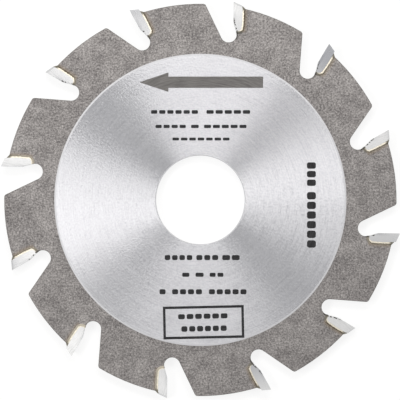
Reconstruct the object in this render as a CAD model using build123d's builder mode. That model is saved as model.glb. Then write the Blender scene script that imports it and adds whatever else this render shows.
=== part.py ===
from build123d import *
from math import acos, atan, atan2, cos, degrees, radians, sin, sqrt, tan
import os

# Biscuit joiner blade with brazed carbide tips, in millimetres and degrees.
# The origin is the centre of the bore, halfway through the plate. +Z leaves the printed face.
# One tooth is drawn with its cutting edge on +Y, and the blade turns anticlockwise seen from +Z.

# Plate
blade_diameter = 100.0
bore_diameter = 22.0
tooth_count = 12
first_tooth_angle = 80.46
land_drop = 1.5
bore_chamfer = 0.2
edge_break = 0.1

# How far inside the gullet floors the brushed hub ends, and how much lower the blasted rim lies
hub_inset = 3.44
rim_relief = 0.04

# Cut width, and how far each tip stands proud of the plate at its cutting corner
kerf = 3.96
side_overhang = 0.58

# Gullet in front of each tooth, its floor measured down from the seat of the tip
gullet_drop = 3.01
gullet_radius = 2.0
gullet_wall_angle = 35.1
heel_radius = 0.8

# Carbide tip. Its back is steeper than its cutting face by the draft. Its rounded corner leaves the
# seat's floor this many times the length that the edge break takes off it
tip_length = 7.3
tip_thickness = 2.1
tip_bulge = 0.17
tip_corner_radius = 0.9
floor_allowance = 1.5
rake_length = 5.15
hook_angle = 9.0
back_draft = 2.0
nose_angle = 25.0
top_clearance = 15.0
top_bevel = 12.0
radial_clearance = 1.25
tangential_clearance = 2.5

# Silver solder between tip and plate, its bead on each face and its cap on the land
braze_gap = 0.15
bead_flat = 0.35
bead_slope = 0.4
bead_recess = 0.03
cap_rise = 0.5
cap_run = 0.75

# Worked out from the values above
cutting_radius = blade_diameter / 2
body_radius = cutting_radius - land_drop
plate_thickness = kerf - 2 * side_overhang
rim_thickness = plate_thickness - 2 * rim_relief
tooth_pitch = 360 / tooth_count
seat_floor = cutting_radius - tip_length - braze_gap
hub_radius = seat_floor - gullet_drop - hub_inset
tip_taper = tip_length * tan(radians(radial_clearance)) + tip_thickness * tan(radians(tangential_clearance))
bead_height = kerf / 2 - tip_taper - bead_recess - rim_thickness / 2

# How near a point must be to a circle to count as on it
on_circle = 0.001

os.makedirs("parts", exist_ok=True)


def write_node(part, name):
    part.label = name
    export_step(part, f"parts/{name}.step")


def turn_of(number):
    return first_tooth_angle - 90 - number * tooth_pitch


# Directions in the plane of the tooth: down the cutting face, back from it, and down the tip's back
down_face = Vector(sin(radians(hook_angle)), -cos(radians(hook_angle)), 0)
off_face = Vector(cos(radians(hook_angle)), sin(radians(hook_angle)), 0)
back_angle = hook_angle - back_draft
down_back = Vector(sin(radians(back_angle)), -cos(radians(back_angle)), 0)
down_nose = Vector(sin(radians(nose_angle)), -cos(radians(nose_angle)), 0)
along_top = Vector(cos(radians(top_clearance)), -sin(radians(top_clearance)), 0)

# Corners of the tip's side, as it is before its top is ground to a bevel
edge_point = Vector(0, cutting_radius, 0)
rake_end = edge_point + down_face * rake_length
nose_drop = rake_end.Y - (cutting_radius - tip_length)
nose_end = rake_end + down_nose * (nose_drop / cos(radians(nose_angle)))
top_length = tip_thickness / cos(radians(hook_angle + top_clearance))
top_back = edge_point + along_top * top_length
back_length = (top_back.Y - nose_end.Y) / cos(radians(back_angle))
bottom_back = top_back + down_back * back_length
centre_drop = gullet_drop - gullet_radius
floor_loss = edge_break / tan(acos(centre_drop / gullet_radius) / 2)
corner_radius = min(tip_corner_radius, bottom_back.X - nose_end.X - floor_allowance * floor_loss)

# Side of the tip: flat cutting face, bevelled nose, level bottom and slightly bowed back
with BuildSketch() as tip_profile:
    with BuildLine():
        Polyline(top_back, edge_point, rake_end, nose_end, bottom_back)
        SagittaArc(bottom_back, top_back, -tip_bulge)
    make_face()
    fillet(tip_profile.vertices().group_by(Axis.Y)[0].sort_by(Axis.X)[-1], corner_radius)

# Seat of the tip in the plate, one solder gap larger all round
with BuildSketch() as seat_profile:
    add(tip_profile.sketch)
    offset(amount=braze_gap)

# Open gullet: round floor, straight rising wall, and everything in front of the tip
gullet_front = Vector(nose_end.X, seat_floor)
gullet_centre = gullet_front - Vector(sqrt(gullet_radius**2 - centre_drop**2), centre_drop)
gullet_floor = gullet_centre - Vector(0, gullet_radius)
wall_direction = Vector(-sin(radians(gullet_wall_angle)), cos(radians(gullet_wall_angle)))
wall_foot = gullet_centre + Vector(-wall_direction.Y, wall_direction.X) * gullet_radius
wall_top = wall_foot + wall_direction * ((cutting_radius - gullet_floor.Y) / wall_direction.Y)
mouth_top = edge_point - down_face * land_drop
with BuildSketch() as gullet_profile:
    with BuildLine():
        ThreePointArc(gullet_front, gullet_floor, wall_foot)
        Polyline(wall_foot, wall_top, mouth_top, edge_point, rake_end, nose_end, gullet_front)
    make_face()


def is_heel(corner):
    # The corner where a gullet's rising wall meets the land lies ahead of the cutting edge
    ahead = (degrees(atan2(corner.Y, corner.X)) - first_tooth_angle) % tooth_pitch
    on_land = abs(Vector(corner.X, corner.Y).length - body_radius) < on_circle
    return on_land and ahead < tooth_pitch / 2


def is_bore(edge):
    return abs(edge.radius - bore_diameter / 2) < on_circle


# Steel plate: rim with gullets and seats, heels rounded, hub a touch thicker, bore and edges deburred
with BuildPart() as blade_body:
    with BuildSketch() as outline:
        Circle(body_radius)
        with PolarLocations(0, tooth_count, start_angle=turn_of(0)):
            add(gullet_profile.sketch, mode=Mode.SUBTRACT)
            add(seat_profile.sketch, mode=Mode.SUBTRACT)
        fillet(outline.vertices().filter_by(is_heel), heel_radius)
    extrude(amount=rim_thickness / 2, both=True)
    chamfer(blade_body.faces().filter_by(Axis.Z).edges(), edge_break)
    with BuildSketch():
        Circle(hub_radius)
    extrude(amount=plate_thickness / 2, both=True)
    Hole(bore_diameter / 2)
    chamfer(blade_body.edges().filter_by(GeomType.CIRCLE).filter_by(is_bore), bore_chamfer)
write_node(blade_body.part, "blade_body")


def side_plane(face):
    # Ground side of the tip: it closes in towards the centre and towards the back
    closing_down = down_face - Vector(0, 0, face * tan(radians(radial_clearance)))
    closing_back = off_face - Vector(0, 0, face * tan(radians(tangential_clearance)))
    outward = closing_down.cross(closing_back) * face
    return Plane(origin=edge_point + Vector(0, 0, face * kerf / 2), x_dir=closing_back, z_dir=outward)


def top_plane(high_side):
    # Ground top of the tip: it falls back from the cutting edge, and across from its high corner
    high_corner = edge_point + Vector(0, 0, high_side * kerf / 2)
    cutting_edge = down_face * tan(radians(top_bevel)) - Vector(0, 0, high_side)
    outward = along_top.cross(cutting_edge) * high_side
    return Plane(origin=high_corner, x_dir=along_top, z_dir=outward)


def make_tip(high_side):
    with BuildPart() as tip:
        add(tip_profile.sketch)
        extrude(amount=kerf, both=True)
        for cut in (side_plane(1), side_plane(-1), top_plane(high_side)):
            split(bisect_by=cut, keep=Keep.BOTTOM)
    return tip.part


# Tips, numbered clockwise from the top, with the high corner of the bevel on alternate sides
tip_kinds = [make_tip(-1), make_tip(1)]
for number in range(tooth_count):
    with BuildPart() as tip:
        add(tip_kinds[number % 2], rotation=(0, 0, turn_of(number)))
    write_node(tip.part, f"tip_{number + 1:02d}")

# Solder seen from the side: the seam behind and under the tip, and the cap where it meets the land
cap_head = top_back + down_back * (top_back.Y - body_radius - cap_rise)
cap_root = cap_head + down_back * (2 * cap_rise)
cap_toe = Vector(cap_root.X + cap_run, sqrt(body_radius**2 - (cap_root.X + cap_run) ** 2))
with BuildSketch() as cap_outline:
    with BuildLine():
        Polyline(cap_head, cap_root, cap_toe, close=True)
    make_face()
with BuildSketch() as cap_above_land:
    add(cap_outline.sketch)
    Circle(body_radius, mode=Mode.SUBTRACT)
with BuildSketch() as seam_profile:
    Circle(body_radius)
    add(seat_profile.sketch, mode=Mode.INTERSECT)
    add(cap_above_land.sketch)
    add(tip_profile.sketch, mode=Mode.SUBTRACT)
    add(gullet_profile.sketch, mode=Mode.SUBTRACT)
with BuildSketch() as solder_reach:
    Circle(body_radius)
    add(cap_outline.sketch)

# Bead in the corner between tip and plate face: flat beside the tip, then sloping to the plate
with BuildPart() as bead:
    with BuildSketch(Plane.XY.offset(rim_thickness / 2)):
        add(tip_profile.sketch)
        offset(amount=bead_flat + bead_slope)
    extrude(amount=bead_height, taper=degrees(atan(bead_slope / bead_height)))
    with BuildSketch(Plane.XY.offset(rim_thickness / 2)):
        add(tip_profile.sketch)
        add(gullet_profile.sketch)
    extrude(amount=bead_height, mode=Mode.SUBTRACT)
    add(solder_reach.sketch)
    extrude(amount=rim_thickness / 2 + bead_height, mode=Mode.INTERSECT)

with BuildPart() as solder:
    add(seam_profile.sketch)
    extrude(amount=rim_thickness / 2, both=True)
    add(bead.part)
    mirror(bead.part, about=Plane.XY)

for number in range(tooth_count):
    with BuildPart() as braze:
        add(solder.part, rotation=(0, 0, turn_of(number)))
    write_node(braze.part, f"braze_{number + 1:02d}")
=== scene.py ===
import bpy
import math
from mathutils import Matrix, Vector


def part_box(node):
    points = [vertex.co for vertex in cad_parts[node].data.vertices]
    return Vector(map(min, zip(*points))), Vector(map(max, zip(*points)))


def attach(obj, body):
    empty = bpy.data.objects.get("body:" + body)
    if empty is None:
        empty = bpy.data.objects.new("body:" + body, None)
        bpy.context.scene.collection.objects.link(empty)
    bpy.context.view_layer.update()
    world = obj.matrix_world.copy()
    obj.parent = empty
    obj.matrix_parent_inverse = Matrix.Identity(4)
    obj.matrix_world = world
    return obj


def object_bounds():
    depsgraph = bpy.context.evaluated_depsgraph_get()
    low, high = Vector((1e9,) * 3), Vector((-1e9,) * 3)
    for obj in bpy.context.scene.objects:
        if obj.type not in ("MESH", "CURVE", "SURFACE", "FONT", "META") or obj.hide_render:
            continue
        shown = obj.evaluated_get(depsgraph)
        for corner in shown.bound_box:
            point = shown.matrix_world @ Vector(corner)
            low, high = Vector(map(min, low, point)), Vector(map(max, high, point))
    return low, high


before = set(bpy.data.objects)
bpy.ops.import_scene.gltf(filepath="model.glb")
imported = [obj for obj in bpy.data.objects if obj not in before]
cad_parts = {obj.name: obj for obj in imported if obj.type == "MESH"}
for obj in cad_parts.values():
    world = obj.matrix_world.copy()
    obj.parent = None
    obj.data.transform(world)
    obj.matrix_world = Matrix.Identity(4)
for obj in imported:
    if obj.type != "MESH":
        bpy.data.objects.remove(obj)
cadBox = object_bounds()
mm = 0.001
noiseSpan = (0.3, 0.7)  # most values of a noise pattern lie between these


def clearSelection():
    if bpy.context.object and bpy.context.object.mode != "OBJECT":
        bpy.ops.object.mode_set(mode="OBJECT")
    bpy.ops.object.select_all(action="DESELECT")


# sRGB hex to the linear colour that the shaders take
def hexColour(code):
    parts = [int(code[i:i + 2], 16) / 255 for i in (0, 2, 4)]
    return tuple(p / 12.92 if p <= 0.04045 else ((p + 0.055) / 1.055) ** 2.4 for p in parts) + (1.0,)


# adds one node: settings are its properties, inputs are values or sockets to link
def addNode(tree, kind, inputs=None, **settings):
    node = tree.nodes.new("ShaderNode" + kind)
    for name, value in settings.items():
        setattr(node, name, value)
    for key, value in (inputs or {}).items():
        if isinstance(value, bpy.types.NodeSocket):
            tree.links.new(value, node.inputs[key])
        else:
            node.inputs[key].default_value = value
    return node


def setStops(ramp, stops):
    elements = ramp.color_ramp.elements
    while len(elements) < len(stops):
        elements.new(0.5)
    for element, (place, code) in zip(elements, stops):
        element.position = place
        element.color = hexColour(code)
    return ramp.outputs["Color"]


def newMaterial(name):
    material = bpy.data.materials.new(name)
    material.use_nodes = True
    tree = material.node_tree
    tree.nodes.clear()
    output = addNode(tree, "OutputMaterial")
    shader = addNode(tree, "BsdfPrincipled")
    tree.links.new(shader.outputs["BSDF"], output.inputs["Surface"])
    return material, tree, shader


def plug(tree, socket, shader, name):
    tree.links.new(socket, shader.inputs[name])


# where a point is on the blade, in millimetres, and which way it faces
def bladePlace(tree):
    coords = addNode(tree, "TexCoord")
    place = addNode(tree, "VectorMath", {0: coords.outputs["Object"], "Scale": 1 / mm}, operation="SCALE")
    axes = addNode(tree, "SeparateXYZ", {0: place.outputs[0]})
    flat = addNode(tree, "CombineXYZ", {"X": axes.outputs["X"], "Y": axes.outputs["Y"]})
    radius = addNode(tree, "VectorMath", {0: flat.outputs[0]}, operation="LENGTH")
    outward = addNode(tree, "VectorMath", {0: flat.outputs[0]}, operation="NORMALIZE")
    facing = addNode(tree, "SeparateXYZ", {0: coords.outputs["Normal"]})
    up = addNode(tree, "Math", {0: facing.outputs["Z"]}, operation="ABSOLUTE")
    return {
        "place": place.outputs[0],
        "x": axes.outputs["X"],
        "y": axes.outputs["Y"],
        "z": axes.outputs["Z"],
        "radius": radius.outputs["Value"],
        "outward": outward.outputs[0],
        "up": up.outputs[0],
    }


# coordinates for a pattern that runs round the bore: how fast it varies around and outwards
def ringWay(tree, where, around, outwards):
    circle = addNode(tree, "VectorMath", {0: where["outward"], "Scale": around}, operation="SCALE")
    ring = addNode(tree, "Math", {0: where["radius"], 1: outwards}, operation="MULTIPLY")
    lift = addNode(tree, "CombineXYZ", {"Z": ring.outputs[0]})
    return addNode(tree, "VectorMath", {0: circle.outputs[0], 1: lift.outputs[0]}, operation="ADD").outputs[0]


tooth = {
    "first": 80.46,  # degrees, the first cutting edge
    "pitch": 30.0,
    "ahead": 4.0,  # degrees in front of a cutting edge that still count to its tooth
    "backCentre": (-30.589, 41.974, 0.0),  # mm, the tip's back is part of a large circle
    "backRadius": 33.64,
    "corner": 0.9,  # mm, the rounding between back and bottom
    "bottom": 42.7,  # mm from the centre, the underside of the tip
    "gullet": (0.112, 41.54, 0.0),  # mm, centre of the round floor, its radius is 2 mm
    "nose": (25.0, 19.71),  # degrees and mm, the bevel at the lower front of the tip
    "lower": (-0.9, 0.3),  # mm more below the tip than behind it: up to here behind, from there below
    "drawIn": 2.0,  # below the tip, solder and heat reach half as far
    "patch": 20.0,  # mm, small enough to tell one tooth from the next
    "seed": 1271.2,  # which teeth kept more flux from brazing
}


# the nearest tooth's own axes: u back from its cutting edge, v outwards, behind and below its tip
def toothPlace(tree, where):
    ahead = tooth["ahead"]
    angle = addNode(tree, "Math", {0: where["y"], 1: where["x"]}, operation="ARCTAN2")
    after = addNode(tree, "Math", {0: math.radians(tooth["first"]), 1: angle.outputs[0]},
                    operation="SUBTRACT")
    turn = addNode(tree, "Math", {0: after.outputs[0], 1: math.radians(tooth["pitch"] - ahead),
                                  2: math.radians(-ahead)}, operation="WRAP")
    side = addNode(tree, "Math", {0: turn.outputs[0]}, operation="SINE")
    along = addNode(tree, "Math", {0: turn.outputs[0]}, operation="COSINE")
    u = addNode(tree, "Math", {0: side.outputs[0], 1: where["radius"]}, operation="MULTIPLY")
    v = addNode(tree, "Math", {0: along.outputs[0], 1: where["radius"]}, operation="MULTIPLY")
    own = addNode(tree, "CombineXYZ", {"X": u.outputs[0], "Y": v.outputs[0], "Z": where["z"]})
    flat = addNode(tree, "CombineXYZ", {"X": u.outputs[0], "Y": v.outputs[0]})
    bow = addNode(tree, "VectorMath", {0: flat.outputs[0], 1: tooth["backCentre"]}, operation="DISTANCE")
    behind = addNode(tree, "Math", {0: bow.outputs["Value"], 1: tooth["backRadius"]}, operation="SUBTRACT")
    below = addNode(tree, "Math", {0: tooth["bottom"], 1: v.outputs[0]}, operation="SUBTRACT")
    # distance from the tip's outline, round its back and bottom
    past = addNode(tree, "Math", {0: behind.outputs[0], 1: tooth["corner"]}, operation="ADD")
    under = addNode(tree, "Math", {0: below.outputs[0], 1: tooth["corner"]}, operation="ADD")
    apart = addNode(tree, "CombineXYZ", {"X": past.outputs[0], "Y": under.outputs[0]})
    outside = addNode(tree, "VectorMath", {0: apart.outputs[0], 1: (0, 0, 0)}, operation="MAXIMUM")
    reach = addNode(tree, "VectorMath", {0: outside.outputs[0]}, operation="LENGTH")
    around = addNode(tree, "Math", {0: reach.outputs["Value"], 1: tooth["corner"]}, operation="SUBTRACT")
    # the same distance, counted double below the tip
    lower = addNode(tree, "Math", {0: below.outputs[0], 1: behind.outputs[0]}, operation="SUBTRACT")
    tighter = addNode(tree, "MapRange", {0: lower.outputs[0], 1: tooth["lower"][0], 2: tooth["lower"][1],
                                         3: 1.0, 4: tooth["drawIn"]})
    spread = addNode(tree, "Math", {0: around.outputs[0], 1: tighter.outputs[0]}, operation="MULTIPLY")
    # some teeth were cleaned of flux better than others; the same noise also sets how dark the painted shade
    # seam under a tip is and how many specks of painted shade its nose gets
    fluxAndShade = addNode(tree, "TexNoise", {"Vector": where["place"], "W": tooth["seed"],
                                      "Scale": 1 / tooth["patch"], "Detail": 0.0}, noise_dimensions="4D")
    return {
        "own": own.outputs[0],
        "flat": flat.outputs[0],
        "u": u.outputs[0],
        "v": v.outputs[0],
        "behind": behind.outputs[0],
        "below": below.outputs[0],
        "spread": spread.outputs[0],
        "fluxAndShade": fluxAndShade.outputs["Fac"],
    }


fluxRun = {
    "teeth": (0.42, 0.6),  # flux kept, from the teeth with no run to those with the longest
    "length": 2.4,  # mm below the tip
    "fade": 0.6,  # mm over which its end thins out
    "edge": (2.4, 2.6),  # mm from the gullet's centre, the side of a run
    "drips": 2.3,  # waves a mm in that side
    "ragged": 0.4,  # mm that these move it
    "tipSide": (0.8, 1.2),  # mm behind the cutting edge, the gullet's rising wall stays clean
    "strength": 0.8,
}


# flux that ran from under some tips a little way down the gullet's edge, 0 to 1
def ranDown(tree, where, near):
    drips = addNode(tree, "TexNoise", {"Vector": where["place"], "Scale": fluxRun["drips"], "Detail": 4.0})
    across = addNode(tree, "VectorMath", {0: near["flat"], 1: tooth["gullet"]}, operation="DISTANCE")
    ragged = addNode(tree, "Math", {0: drips.outputs["Fac"], 1: fluxRun["ragged"],
                                    2: across.outputs["Value"]}, operation="MULTIPLY_ADD")
    edging = addNode(tree, "MapRange", {0: ragged.outputs[0], 1: fluxRun["edge"][0], 2: fluxRun["edge"][1],
                                        3: fluxRun["strength"], 4: 0.0})
    length = addNode(tree, "MapRange", {0: near["fluxAndShade"], 1: fluxRun["teeth"][0], 2: fluxRun["teeth"][1],
                                        3: 0.0, 4: fluxRun["length"]})
    left = addNode(tree, "Math", {0: length.outputs[0], 1: near["below"]}, operation="SUBTRACT")
    fading = addNode(tree, "MapRange", {0: left.outputs[0], 1: 0.0, 2: fluxRun["fade"], 3: 0.0, 4: 1.0})
    tipSide = addNode(tree, "MapRange", {0: near["u"], 1: fluxRun["tipSide"][0], 2: fluxRun["tipSide"][1],
                                         3: 0.0, 4: 1.0})
    running = addNode(tree, "Math", {0: edging.outputs[0], 1: fading.outputs[0]}, operation="MULTIPLY")
    kept = addNode(tree, "Math", {0: running.outputs[0], 1: tipSide.outputs[0]}, operation="MULTIPLY")
    return kept.outputs[0]


# a tone is a list of pairs: a pattern's value and the colour there
plate = {
    "hubRadius": 36.1,
    "hubEdge": 0.04,  # mm each way in which one finish gives way to the other
    "hubTone": ((0.3, "939396"), (0.7, "aaaaad")),
    "hubRoughness": (0.28, 0.45),
    "hubSpan": (0.35, 0.65),  # of the brushing, for that roughness
    "brushing": 0.93,  # anisotropy
    "lineArc": 5.0,  # a brushed line fades out in about a fifth of its radius
    "lineWidth": 0.17,  # mm, real scratches are finer
    "pits": 0.5,  # mm between shallow pits that the brushing left, real ones are finer
    "pitShare": 0.4,  # of the hub's tone comes from pits, the rest from lines
    "relief": 0.03,  # mm, for slopes of a degree or two in the pits
    "ringWidth": 0.4,  # mm
    "ring": ("98989a", 0.5),  # bare ring between brushed and blasted: colour, roughness
    "boreRadius": 11.2,  # with its chamfer
    "bore": ("c8c8ca", 0.4),  # colour, roughness
    "rimTone": ((0.42, "3b3939"), (0.62, "6a6766"), (0.84, "908d8b")),
    "grain": 0.44,  # mm, the real grit is about 0.15
    "cloud": 0.35,  # slow mottling, patches a mm
    "cloudShare": 0.25,  # added to the grain's tone
    "rimRoughness": (0.55, 0.7),
    "wall": 0.8,  # a face that points less far up than this is a cut wall
    "wallTone": ((0.35, "55514d"), (0.65, "77736e")),
    "ridges": (6.0, 6.0, 0.4),  # ridges a mm, along the wall and up it
    "heat": (0.6, 1.5),  # mm from the tip, full brown to none
    "browning": 0.6,
    "stain": "6b5f50",
    # brown-black of flux, also used for the specks of painted shade along the tips' noses
    "fluxAndShade": "34322e",
}


# Saw-blade steel. The hub is turned and brushed, so it fans light out from the bore.
# The rim is grit-blasted and clear lacquered: warm grey, dull and evenly speckled.
def brushedAndBlastedSteel():
    material, tree, shader = newMaterial("saw_steel_brushed_and_blasted")
    where = bladePlace(tree)
    near = toothPlace(tree, where)
    hub = addNode(tree, "MapRange", {0: where["radius"], 1: plate["hubRadius"] - plate["hubEdge"],
                                     2: plate["hubRadius"] + plate["hubEdge"], 3: 1.0, 4: 0.0})
    # brushed lines run round the bore, with pits between them
    lineWay = ringWay(tree, where, plate["lineArc"], 1 / plate["lineWidth"])
    lines = addNode(tree, "TexNoise", {"Vector": lineWay, "Scale": 1.0, "Detail": 3.0, "Roughness": 0.65})
    pits = addNode(tree, "TexNoise", {"Vector": where["place"], "Scale": 1 / plate["pits"], "Detail": 2.0})
    stroke = addNode(tree, "Mix", {0: plate["pitShare"], 2: lines.outputs["Fac"], 3: pits.outputs["Fac"]})
    hubTone = addNode(tree, "ValToRGB", {0: stroke.outputs[0]})
    hubColour = setStops(hubTone, plate["hubTone"])
    ring = addNode(tree, "Math", {0: where["radius"], 1: plate["hubRadius"] - plate["ringWidth"] / 2,
                                  2: plate["ringWidth"] / 2}, operation="COMPARE")
    # blasted grain, with a slow mottling under it
    grain = addNode(tree, "TexNoise", {"Vector": where["place"], "Scale": 1 / plate["grain"], "Detail": 5.0,
                                       "Roughness": 0.78})
    cloud = addNode(tree, "TexNoise", {"Vector": where["place"], "Scale": plate["cloud"], "Detail": 2.0})
    mottle = addNode(tree, "Math", {0: cloud.outputs["Fac"], 1: plate["cloudShare"],
                                    2: grain.outputs["Fac"]}, operation="MULTIPLY_ADD")
    rimTone = addNode(tree, "ValToRGB", {0: mottle.outputs[0]})
    rimColour = setStops(rimTone, plate["rimTone"])
    # heat of brazing: brown next to the solder, gone within a millimetre or so
    heat = addNode(tree, "MapRange", {0: near["spread"], 1: plate["heat"][0], 2: plate["heat"][1],
                                      3: plate["browning"], 4: 0.0})
    warm = addNode(tree, "Mix", {0: heat.outputs[0], 6: rimColour, 7: hexColour(plate["stain"])},
                   data_type="RGBA")
    # laser-cut walls: fine upright ridges
    upright = addNode(tree, "VectorMath", {0: where["place"], 1: plate["ridges"]}, operation="MULTIPLY")
    ridges = addNode(tree, "TexNoise", {"Vector": upright.outputs[0], "Scale": 1.0, "Detail": 2.0})
    wallTone = addNode(tree, "ValToRGB", {0: ridges.outputs["Fac"]})
    wallColour = setStops(wallTone, plate["wallTone"])
    wall = addNode(tree, "Math", {0: where["up"], 1: plate["wall"]}, operation="LESS_THAN")
    walled = addNode(tree, "Mix", {0: wall.outputs[0], 6: warm.outputs[2], 7: wallColour}, data_type="RGBA")
    fluxed = addNode(tree, "Mix", {0: ranDown(tree, where, near), 6: walled.outputs[2],
                                   7: hexColour(plate["fluxAndShade"])}, data_type="RGBA")
    hubOrRim = addNode(tree, "Mix", {0: hub.outputs[0], 6: fluxed.outputs[2], 7: hubColour},
                       data_type="RGBA")
    ringed = addNode(tree, "Mix", {0: ring.outputs[0], 6: hubOrRim.outputs[2],
                                   7: hexColour(plate["ring"][0])}, data_type="RGBA")
    # the bore and its chamfer are reamed bright
    bore = addNode(tree, "Math", {0: where["radius"], 1: plate["boreRadius"]}, operation="LESS_THAN")
    bored = addNode(tree, "Mix", {0: bore.outputs[0], 6: ringed.outputs[2], 7: hexColour(plate["bore"][0])},
                    data_type="RGBA")
    plug(tree, bored.outputs[2], shader, "Base Color")
    hubRough = addNode(tree, "MapRange", {0: stroke.outputs[0], 1: plate["hubSpan"][0],
                                          2: plate["hubSpan"][1], 3: plate["hubRoughness"][0],
                                          4: plate["hubRoughness"][1]})
    rimRough = addNode(tree, "MapRange", {0: grain.outputs["Fac"], 1: noiseSpan[0], 2: noiseSpan[1],
                                          3: plate["rimRoughness"][1], 4: plate["rimRoughness"][0]})
    rough = addNode(tree, "Mix", {0: hub.outputs[0], 2: rimRough.outputs[0], 3: hubRough.outputs[0]})
    ringRough = addNode(tree, "Mix", {0: ring.outputs[0], 2: rough.outputs[0], 3: plate["ring"][1]})
    boreRough = addNode(tree, "Mix", {0: bore.outputs[0], 2: ringRough.outputs[0], 3: plate["bore"][1]})
    plug(tree, boreRough.outputs[0], shader, "Roughness")
    shader.inputs["Metallic"].default_value = 1.0
    # only the hub is brushed, without its ring and bore
    bare = addNode(tree, "Math", {0: ring.outputs[0], 1: bore.outputs[0]}, operation="ADD")
    brushed = addNode(tree, "Math", {0: hub.outputs[0], 1: bare.outputs[0]}, operation="SUBTRACT")
    brushing = addNode(tree, "Math", {0: brushed.outputs[0], 1: plate["brushing"]}, operation="MULTIPLY",
                       use_clamp=True)
    plug(tree, brushing.outputs[0], shader, "Anisotropic")
    plug(tree, where["outward"], shader, "Tangent")
    height = addNode(tree, "Mix", {0: hub.outputs[0], 2: grain.outputs["Fac"], 3: pits.outputs["Fac"]})
    bump = addNode(tree, "Bump", {"Strength": 1.0, "Distance": plate["relief"] * mm,
                                  "Height": height.outputs[0]})
    plug(tree, bump.outputs["Normal"], shader, "Normal")
    return material


tip = {
    "tone": ((0.1, "86878b"), (0.9, "c0c0c0")),
    "toneSpan": (0.1, 0.9),  # how far apart the noise sets one tip from the next
    "seed": 2742.5,  # which tips are light and which dark
    "grind": 0.11,  # mm between grinding marks, drawn coarse enough to show
    "grindLength": 2.0,  # mm
    "grindShare": 0.4,  # of the tone
    "grindDepth": 0.002,  # mm
    "lowFrontDarkening": 0.35,  # how much darker the lower front is
    "darkeningHeight": (43.0, 48.0),  # mm from the centre, full to none
    "darkeningFront": (-1.4, -2.0),  # mm from the tip's back, none to full
    "noseShadeSpecks": 0.45,  # mm between the specks of painted shade
    "speckWidth": 0.35,  # mm
    "speckFade": 0.6,  # part of that width where specks begin to thin out
    "speckReach": (1.25, 1.7),  # mm from the middle of the cut, specks sit along the tip's two sides
    "speckTeeth": (0.4, 0.6),  # flux kept, from teeth with the fewest specks of painted shade to those with the most
    "speckLimit": (0.75, 0.45),  # noise above this is a speck of painted shade, on teeth with little flux and on those with much
    "speckEdge": 0.06,
    "roughness": (0.26, 0.36),
}


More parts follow.
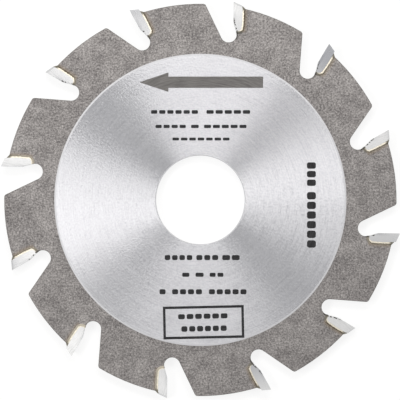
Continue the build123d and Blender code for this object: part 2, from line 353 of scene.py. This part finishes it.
# Tungsten carbide, diamond ground: pale cool grey, nearly a mirror, with marks along the tooth.
def groundCarbide():
    material, tree, shader = newMaterial("tungsten_carbide_ground")
    where = bladePlace(tree)
    near = toothPlace(tree, where)
    stretch = (1 / tip["grind"], 1 / tip["grindLength"], 1 / tip["grind"])
    marksWay = addNode(tree, "VectorMath", {0: near["own"], 1: stretch}, operation="MULTIPLY")
    marks = addNode(tree, "TexNoise", {"Vector": marksWay.outputs[0], "Scale": 1.0, "Detail": 3.0})
    # no two tips came off the wheel quite the same
    each = addNode(tree, "TexNoise", {"Vector": where["place"], "W": tip["seed"],
                                      "Scale": 1 / tooth["patch"], "Detail": 0.0}, noise_dimensions="4D")
    apart = addNode(tree, "MapRange", {0: each.outputs["Fac"], 1: noiseSpan[0], 2: noiseSpan[1],
                                       3: tip["toneSpan"][0], 4: tip["toneSpan"][1]}, clamp=False)
    # the lower front of each tip is painted a little darker
    low = addNode(tree, "MapRange", {0: near["v"], 1: tip["darkeningHeight"][0], 2: tip["darkeningHeight"][1],
                                     3: tip["lowFrontDarkening"], 4: 0.0})
    front = addNode(tree, "MapRange", {0: near["behind"], 1: tip["darkeningFront"][0], 2: tip["darkeningFront"][1],
                                       3: 0.0, 4: 1.0})
    lowFrontDarkening = addNode(tree, "Math", {0: low.outputs[0], 1: front.outputs[0]}, operation="MULTIPLY")
    tone = addNode(tree, "Math", {0: marks.outputs["Fac"], 1: tip["grindShare"], 2: apart.outputs[0]},
                   operation="MULTIPLY_ADD")
    shade = addNode(tree, "Math", {0: tone.outputs[0], 1: lowFrontDarkening.outputs[0]}, operation="SUBTRACT")
    ramp = addNode(tree, "ValToRGB", {0: shade.outputs[0]})
    ground = setStops(ramp, tip["tone"])
    # painted shade: dark specks along the lower front edge stand for the thin shade line at the nose's facet
    # edge, with more specks on teeth that kept more flux
    slope = math.radians(tooth["nose"][0])
    forward = addNode(tree, "VectorMath", {0: near["own"], 1: (math.cos(slope), math.sin(slope), 0)},
                      operation="DOT_PRODUCT")
    fadeFrom = tooth["nose"][1] + tip["speckWidth"] * tip["speckFade"]
    fadeTo = tooth["nose"][1] + tip["speckWidth"]
    noseEdge = addNode(tree, "MapRange", {0: forward.outputs["Value"], 1: fadeFrom, 2: fadeTo,
                                          3: 1.0, 4: 0.0})
    speckNoise = addNode(tree, "TexNoise", {"Vector": where["place"], "Scale": 1 / tip["noseShadeSpecks"], "Detail": 0.0})
    limit = addNode(tree, "MapRange", {0: near["fluxAndShade"], 1: tip["speckTeeth"][0], 2: tip["speckTeeth"][1],
                                       3: tip["speckLimit"][0], 4: tip["speckLimit"][1]})
    above = addNode(tree, "Math", {0: speckNoise.outputs["Fac"], 1: limit.outputs[0]}, operation="SUBTRACT")
    spots = addNode(tree, "MapRange", {0: above.outputs[0], 1: 0.0, 2: tip["speckEdge"], 3: 0.0, 4: 1.0})
    aside = addNode(tree, "Math", {0: where["z"]}, operation="ABSOLUTE")
    atSides = addNode(tree, "MapRange", {0: aside.outputs[0], 1: tip["speckReach"][0],
                                         2: tip["speckReach"][1], 3: 0.0, 4: 1.0})
    noseSides = addNode(tree, "Math", {0: noseEdge.outputs[0], 1: atSides.outputs[0]}, operation="MULTIPLY")
    noseShadeSpecks = addNode(tree, "Math", {0: spots.outputs[0], 1: noseSides.outputs[0]}, operation="MULTIPLY")
    noseShaded = addNode(tree, "Mix", {0: noseShadeSpecks.outputs[0], 6: ground, 7: hexColour(plate["fluxAndShade"])},
                      data_type="RGBA")
    plug(tree, noseShaded.outputs[2], shader, "Base Color")
    rough = addNode(tree, "MapRange", {0: marks.outputs["Fac"], 1: noiseSpan[0], 2: noiseSpan[1],
                                       3: tip["roughness"][1], 4: tip["roughness"][0]})
    plug(tree, rough.outputs[0], shader, "Roughness")
    shader.inputs["Metallic"].default_value = 1.0
    bump = addNode(tree, "Bump", {"Strength": 0.6, "Distance": tip["grindDepth"] * mm,
                                  "Height": marks.outputs["Fac"]})
    plug(tree, bump.outputs["Normal"], shader, "Normal")
    return material


solder = {
    "bead": "beb8aa",
    # edge and faded: the brown past the flat top, flux stain together with painted shade of the bead's slope
    "edge": "54493a",
    "faded": "958b7c",
    # the dark seam below a tip: painted shade of its overhang, darkened further by flux
    "seam": "5c5a53",
    "cap": "5f5b50",
    "flat": 0.34,  # mm behind the tip that the bead keeps its silver
    "blur": 0.07,  # mm each way
    "line": 0.32,  # mm of dark flux stain along it, with painted shade of the bead's slope down to the plate
    "lineFade": (-0.1, 0.12),  # mm from the end of that line
    "ripple": 2.2,  # waves a mm
    "waver": 0.7,  # mm that these move its edges
    "stainTeeth": (0.35, 0.6),  # flux kept, from the least stained teeth to the fully stained
    "leastStain": 0.4,
    "seamPlace": (-0.15, 0.1),  # mm below the tip, bright to dark
    "seamTeeth": (0.42, 0.58),  # flux kept, from teeth with a bright seam to those with a dark one
    "seamDark": (0.1, 0.9),
    "land": (47.7, 48.3),  # mm from the centre, where the cap begins
    "coveredMetal": 0.35,  # metallic where flux covers it
    "roughness": (0.3, 0.5),
    "relief": 0.03,  # mm
}


# Silver solder: pale warm silver where it set clean, brown where flux and heat stained it, with painted shade
# on its slope down to the plate and in the seam under the tip; the cap on the land is olive.
def silverSolder():
    material, tree, shader = newMaterial("silver_solder_heat_stained")
    where = bladePlace(tree)
    near = toothPlace(tree, where)
    ripple = addNode(tree, "TexNoise", {"Vector": where["place"], "Scale": solder["ripple"], "Detail": 3.0})
    shift = addNode(tree, "Math", {0: ripple.outputs["Fac"], 1: solder["waver"], 2: -solder["waver"] / 2},
                    operation="MULTIPLY_ADD")
    edge = addNode(tree, "Math", {0: near["spread"], 1: shift.outputs[0]}, operation="ADD")
    stain = addNode(tree, "MapRange", {0: edge.outputs[0], 1: solder["flat"] - solder["blur"],
                                       2: solder["flat"] + solder["blur"], 3: 0.0, 4: 1.0})
    past = solder["flat"] + solder["line"]
    fade = addNode(tree, "MapRange", {0: edge.outputs[0], 1: past + solder["lineFade"][0],
                                      2: past + solder["lineFade"][1], 3: 0.0, 4: 1.0})
    # painted shade: past its flat top the bead is painted dark brown, flux stain together with the shade of
    # its slope down to the plate
    brownStainAndShade = addNode(tree, "Mix", {0: fade.outputs[0], 6: hexColour(solder["edge"]),
                                  7: hexColour(solder["faded"])}, data_type="RGBA")
    left = addNode(tree, "MapRange", {0: near["fluxAndShade"], 1: solder["stainTeeth"][0],
                                      2: solder["stainTeeth"][1], 3: solder["leastStain"], 4: 1.0})
    fluxAndShade = addNode(tree, "Math", {0: stain.outputs[0], 1: left.outputs[0]}, operation="MULTIPLY")
    colour = addNode(tree, "Mix", {0: fluxAndShade.outputs[0], 6: hexColour(solder["bead"]), 7: brownStainAndShade.outputs[2]},
                     data_type="RGBA")
    # painted shade: a dark seam just below the tip stands for the shade under its overhang, made darker by
    # flux on the same teeth
    bottom = addNode(tree, "MapRange", {0: near["below"], 1: solder["seamPlace"][0],
                                        2: solder["seamPlace"][1], 3: 0.0, 4: 1.0})
    seamShadeAndFlux = addNode(tree, "MapRange", {0: near["fluxAndShade"], 1: solder["seamTeeth"][0],
                                       2: solder["seamTeeth"][1], 3: solder["seamDark"][0],
                                       4: solder["seamDark"][1]})
    seam = addNode(tree, "Math", {0: bottom.outputs[0], 1: seamShadeAndFlux.outputs[0]}, operation="MULTIPLY")
    under = addNode(tree, "Mix", {0: seam.outputs[0], 6: colour.outputs[2], 7: hexColour(solder["seam"])},
                    data_type="RGBA")
    # the cap on the land is olive all over
    land = addNode(tree, "MapRange", {0: where["radius"], 1: solder["land"][0], 2: solder["land"][1],
                                      3: 0.0, 4: 1.0})
    capped = addNode(tree, "Mix", {0: land.outputs[0], 6: under.outputs[2], 7: hexColour(solder["cap"])},
                     data_type="RGBA")
    fluxed = addNode(tree, "Mix", {0: ranDown(tree, where, near), 6: capped.outputs[2],
                                   7: hexColour(plate["fluxAndShade"])}, data_type="RGBA")
    plug(tree, fluxed.outputs[2], shader, "Base Color")
    covered = addNode(tree, "Math", {0: stain.outputs[0], 1: land.outputs[0]}, operation="MAXIMUM")
    metal = addNode(tree, "MapRange", {0: covered.outputs[0], 1: 0.0, 2: 1.0,
                                       3: 1.0, 4: solder["coveredMetal"]})
    plug(tree, metal.outputs[0], shader, "Metallic")
    rough = addNode(tree, "MapRange", {0: ripple.outputs["Fac"], 1: noiseSpan[0], 2: noiseSpan[1],
                                       3: solder["roughness"][0], 4: solder["roughness"][1]})
    plug(tree, rough.outputs[0], shader, "Roughness")
    bump = addNode(tree, "Bump", {"Strength": 1.0, "Distance": solder["relief"] * mm,
                                  "Height": ripple.outputs["Fac"]})
    plug(tree, bump.outputs["Normal"], shader, "Normal")
    return material


ink = {
    "black": ((0.35, "141415"), (0.8, "303032")),  # where it is solid, where the brushing greys it
    "grey": ((0.35, "555352"), (0.8, "73716f")),  # the arrow is printed thin
    "wear": (8.0, 4.0),  # how fast wear varies around the bore and outwards
    "roughness": (0.7, 0.9),
    "gloss": 0.25,
    "thickness": 0.02,  # mm, about a screen-printed film
    "sunk": 0.004,  # mm of it inside the hub
}


# Screen-printed ink: matt and thin enough that the brushing greys it in rings.
def screenInk(name, tone):
    material, tree, shader = newMaterial(name)
    where = bladePlace(tree)
    wearWay = ringWay(tree, where, ink["wear"][0], ink["wear"][1])
    wear = addNode(tree, "TexNoise", {"Vector": wearWay, "Scale": 1.0, "Detail": 4.0, "Roughness": 0.7})
    ramp = addNode(tree, "ValToRGB", {0: wear.outputs["Fac"]})
    plug(tree, setStops(ramp, tone), shader, "Base Color")
    rough = addNode(tree, "MapRange", {0: wear.outputs["Fac"], 1: noiseSpan[0], 2: noiseSpan[1],
                                       3: ink["roughness"][1], 4: ink["roughness"][0]})
    plug(tree, rough.outputs[0], shader, "Roughness")
    shader.inputs["Specular IOR Level"].default_value = ink["gloss"]
    return material


# by the first word of a node's name
finishes = {"blade": brushedAndBlastedSteel(), "tip": groundCarbide(), "braze": silverSolder()}
for name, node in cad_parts.items():
    for slot in node.material_slots:
        slot.material = finishes[name.split("_")[0]]
print("finishes on", len(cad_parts), "CAD nodes")

# printed marks on the hub, plain shapes in rows
blackInk, greyInk = screenInk("screen_ink_black", ink["black"]), screenInk("screen_ink_grey", ink["grey"])
clearSelection()
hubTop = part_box("blade_body")[1].z


# closes a flat outline into a film of ink and puts it on the hub
def layInk(outline, name, centre, turn=0.0, film=blackInk):
    filmHeight = (ink["thickness"] + ink["sunk"]) * mm
    bpy.context.view_layer.objects.active = outline
    bpy.ops.object.mode_set(mode="EDIT")
    bpy.ops.mesh.select_all(action="SELECT")
    bpy.ops.mesh.extrude_region_move(TRANSFORM_OT_translate={"value": (0, 0, filmHeight)})
    bpy.ops.mesh.select_all(action="SELECT")
    bpy.ops.mesh.normals_make_consistent(inside=False)
    bpy.ops.object.mode_set(mode="OBJECT")
    outline.location = (centre[0] * mm, centre[1] * mm, hubTop - ink["sunk"] * mm)
    outline.rotation_euler = (0, 0, math.radians(turn))
    bpy.ops.object.transform_apply(location=True, rotation=True, scale=True)
    outline.name = name
    outline.data.name = name
    outline.data.materials.append(film)
    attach(outline, "root")
    clearSelection()


# a row may give its own, in mm and degrees; the rounding is a part of a dash's lesser side
dashes = {"dash": 1.6, "gap": 0.45, "turn": 0.0, "rounding": 0.3, "steps": 3}
rows = {
    "print_row_1": {"words": [(-12.2, -0.6), (1.5, 12.3)], "height": 0.9, "centre": (0, 21.75)},
    "print_row_2": {"words": [(-11.1, -3.6), (-2.3, -0.4), (0.9, 11.4)], "height": 0.8, "centre": (0, 18.17)},
    "print_row_3": {"words": [(-6.9, 7.2)], "height": 0.7, "centre": (0, 15.05)},
    "print_row_4": {"words": [(-8.8, -2.0), (-1.0, 4.4), (5.4, 9.7)], "height": 1.25, "centre": (0, -14.25)},
    "print_row_5": {"words": [(-4.5, -2.7), (-1.2, 0.8), (2.3, 5.7)], "height": 1.0, "centre": (0, -18.5)},
    "print_row_6": {"words": [(-10.1, -8.6), (-7.0, 0.4), (2.1, 11.4)], "height": 1.25, "centre": (0, -22.7)},
    "print_row_7": {"words": [(-6.2, 6.0)], "height": 1.25, "centre": (0.7, -28.75), "turn": 1.25},
    "print_row_8": {"words": [(-5.6, 5.6)], "height": 1.35, "centre": (0.9, -31.8), "turn": 1.25},
    "print_side": {"words": [(-10.55, 3.2), (4.7, 10.55)], "height": 2.2, "centre": (27.45, -1.25),
                   "turn": 90.0, "dash": 1.9, "gap": 0.55},
}


# one rounded dash, repeated along its word
def inkWord(start, end, row):
    count = max(1, round((end - start + row["gap"]) / (row["dash"] + row["gap"])))
    step = (end - start + row["gap"]) / count
    width, height = step - row["gap"], row["height"]
    bpy.ops.mesh.primitive_plane_add(size=1, location=(0, 0, 0))
    word = bpy.context.object
    bpy.ops.object.mode_set(mode="EDIT")
    bpy.ops.mesh.select_all(action="SELECT")
    bpy.ops.transform.resize(value=(width * mm, height * mm, 1), center_override=(0, 0, 0))
    bpy.ops.transform.translate(value=((start + width / 2) * mm, 0, 0))
    bpy.ops.mesh.bevel(offset=min(width, height) * row["rounding"] * mm, segments=row["steps"],
                       affect="VERTICES")
    bpy.ops.object.mode_set(mode="OBJECT")
    repeat = word.modifiers.new("repeat", "ARRAY")
    repeat.count = count
    repeat.use_relative_offset = False
    repeat.use_constant_offset = True
    repeat.constant_offset_displace = (step * mm, 0, 0)
    bpy.ops.object.modifier_apply(modifier=repeat.name)
    return word


def inkRow(name, row):
    made = [inkWord(start, end, row) for start, end in row["words"]]
    for word in made:
        word.select_set(True)
    bpy.context.view_layer.objects.active = made[0]
    if len(made) > 1:
        bpy.ops.object.join()
    layInk(bpy.context.object, name, row["centre"], row["turn"])


for name, row in rows.items():
    inkRow(name, {**dashes, **row})
print("rows of dashes:", len(rows))

frameBox = {"width": 20.0, "height": 8.1, "line": 0.62, "centre": (0.8, -30.23), "turn": 1.25}
bpy.ops.mesh.primitive_plane_add(size=1, location=(0, 0, 0))
box = bpy.context.object
bpy.ops.object.mode_set(mode="EDIT")
bpy.ops.mesh.select_all(action="SELECT")
bpy.ops.transform.resize(value=(frameBox["width"] * mm, frameBox["height"] * mm, 1),
                         center_override=(0, 0, 0))
bpy.ops.mesh.inset(thickness=frameBox["line"] * mm, depth=0)
bpy.ops.mesh.delete(type="FACE")
bpy.ops.object.mode_set(mode="OBJECT")
layInk(box, "print_frame", frameBox["centre"], frameBox["turn"])

# the arrow shows which way the blade turns, towards its cutting edges
arrow = {"left": -15.1, "right": 15.5, "low": 26.7, "high": 31.5, "head": 7.2, "shaft": 2.8}
middle = (arrow["low"] + arrow["high"]) / 2
half = (arrow["high"] - arrow["low"]) / 2
slack = 1.1  # so that points on a limit are picked too
bpy.ops.mesh.primitive_circle_add(vertices=3, radius=1, fill_type="NGON", location=(0, 0, 0))
pointer = bpy.context.object
for corner, (x, y) in zip(pointer.data.vertices, [(0, 0), (arrow["head"], half), (arrow["head"], -half)]):
    corner.co = (x * mm, y * mm, 0)


def onBase(point, reach):
    return point.co.x * slack > arrow["head"] * mm and abs(point.co.y) < reach * slack * mm


# picks the edges at the base of the head that lie within reach of its middle
def pickBase(reach):
    for edge in pointer.data.edges:
        edge.select = all(onBase(pointer.data.vertices[i], reach) for i in edge.vertices)


bpy.ops.object.mode_set(mode="EDIT")
bpy.ops.mesh.select_mode(type="EDGE")
bpy.ops.mesh.select_all(action="DESELECT")
bpy.ops.object.mode_set(mode="OBJECT")
pickBase(half)
bpy.ops.object.mode_set(mode="EDIT")
bpy.ops.mesh.subdivide(number_cuts=2)
bpy.ops.object.mode_set(mode="OBJECT")
for point in pointer.data.vertices:
    if onBase(point, half / 2):
        point.co.y = math.copysign(arrow["shaft"] / 2 * mm, point.co.y)
pickBase(arrow["shaft"] / 2)
bpy.ops.object.mode_set(mode="EDIT")
shaftLength = arrow["right"] - arrow["left"] - arrow["head"]
bpy.ops.mesh.extrude_region_move(TRANSFORM_OT_translate={"value": (shaftLength * mm, 0, 0)})
bpy.ops.mesh.select_mode(type="VERT")
bpy.ops.object.mode_set(mode="OBJECT")
layInk(pointer, "print_arrow", (arrow["left"], middle), film=greyInk)
print("printed frame and arrow")

stage = {"floor": "f6f6f6", "floorSize": 4.0, "glow": 0.85, "ambient": 0.2}


# 1 for the camera and for what metal mirrors, 0 for the light that falls on the blade
def seenDirectly(tree):
    path = addNode(tree, "LightPath")
    first = addNode(tree, "Math", {0: path.outputs["Is Camera Ray"], 1: path.outputs["Is Glossy Ray"]},
                    operation="MAXIMUM")
    either = addNode(tree, "Math", {0: first.outputs[0], 1: path.outputs["Is Transmission Ray"]},
                     operation="MAXIMUM")
    return either.outputs[0]


clearSelection()
bpy.ops.mesh.primitive_plane_add(size=stage["floorSize"], location=(0, 0, cadBox[0][2]))
floor = bpy.context.object
floor.name = "floor"
paper = bpy.data.materials.new("matt_white_paper")
paper.use_nodes = True
tree = paper.node_tree
tree.nodes.clear()
matt = addNode(tree, "BsdfDiffuse", {"Color": hexColour(stage["floor"])})
glow = addNode(tree, "Emission", {"Color": (1, 1, 1, 1), "Strength": 1.0})
share = addNode(tree, "Math", {0: seenDirectly(tree), 1: stage["glow"]}, operation="MULTIPLY")
surface = addNode(tree, "MixShader", {0: share.outputs[0], 1: matt.outputs[0], 2: glow.outputs[0]})
addNode(tree, "OutputMaterial", {"Surface": surface.outputs[0]})
paper.cycles.emission_sampling = "NONE"
floor.data.materials.append(paper)

world = bpy.data.worlds.new("studio")
bpy.context.scene.world = world
world.use_nodes = True
tree = world.node_tree
tree.nodes.clear()
level = addNode(tree, "MapRange", {0: seenDirectly(tree), 1: 0.0, 2: 1.0, 3: stage["ambient"], 4: 1.0})
sky = addNode(tree, "Background", {"Color": (1, 1, 1, 1), "Strength": level.outputs[0]})
addNode(tree, "OutputWorld", {"Surface": sky.outputs[0]})
world.cycles.sampling_method = "NONE"

# three near softboxes, at the left, behind and at the right, so that the hub's fan is bright
# left and right and dark between: azimuth, elevation, width, height in metres, watts
lamps = {
    "softbox_left": (182, 57, 0.25, 0.12, 1.17),
    "softbox_back": (88, 57, 0.32, 0.12, 1.42),
    "softbox_right": (18, 57, 0.19, 0.12, 0.39),
}
lampDistance = 0.45
lampColour = (1.0, 0.985, 0.965)  # a little warm
for name, (azimuth, elevation, width, height, watts) in lamps.items():
    a, e = math.radians(azimuth), math.radians(elevation)
    spot = (lampDistance * math.cos(e) * math.cos(a), lampDistance * math.cos(e) * math.sin(a),
            lampDistance * math.sin(e))
    bpy.ops.object.light_add(type="AREA", location=spot, rotation=(0, math.pi / 2 - e, a))
    lamp = bpy.context.object
    lamp.name = name
    lamp.visible_camera = False
    lamp.data.shape = "RECTANGLE"
    lamp.data.size = height  # along the tilt
    lamp.data.size_y = width
    lamp.data.energy = watts
    lamp.data.color = lampColour
print("lamps:", len(lamps))

camera = {"place": (-0.092, -0.017, 540.0), "lens": 196.1, "sensor": 36.0, "nearest": 10.0}  # mm
bpy.ops.object.camera_add(location=[c * mm for c in camera["place"]], rotation=(0, 0, 0))
eye = bpy.context.object
eye.data.sensor_width = camera["sensor"]
eye.data.lens = camera["lens"]
eye.data.clip_start = camera["nearest"] * mm
bpy.context.scene.camera = eye
bpy.context.scene.view_settings.view_transform = "Standard"
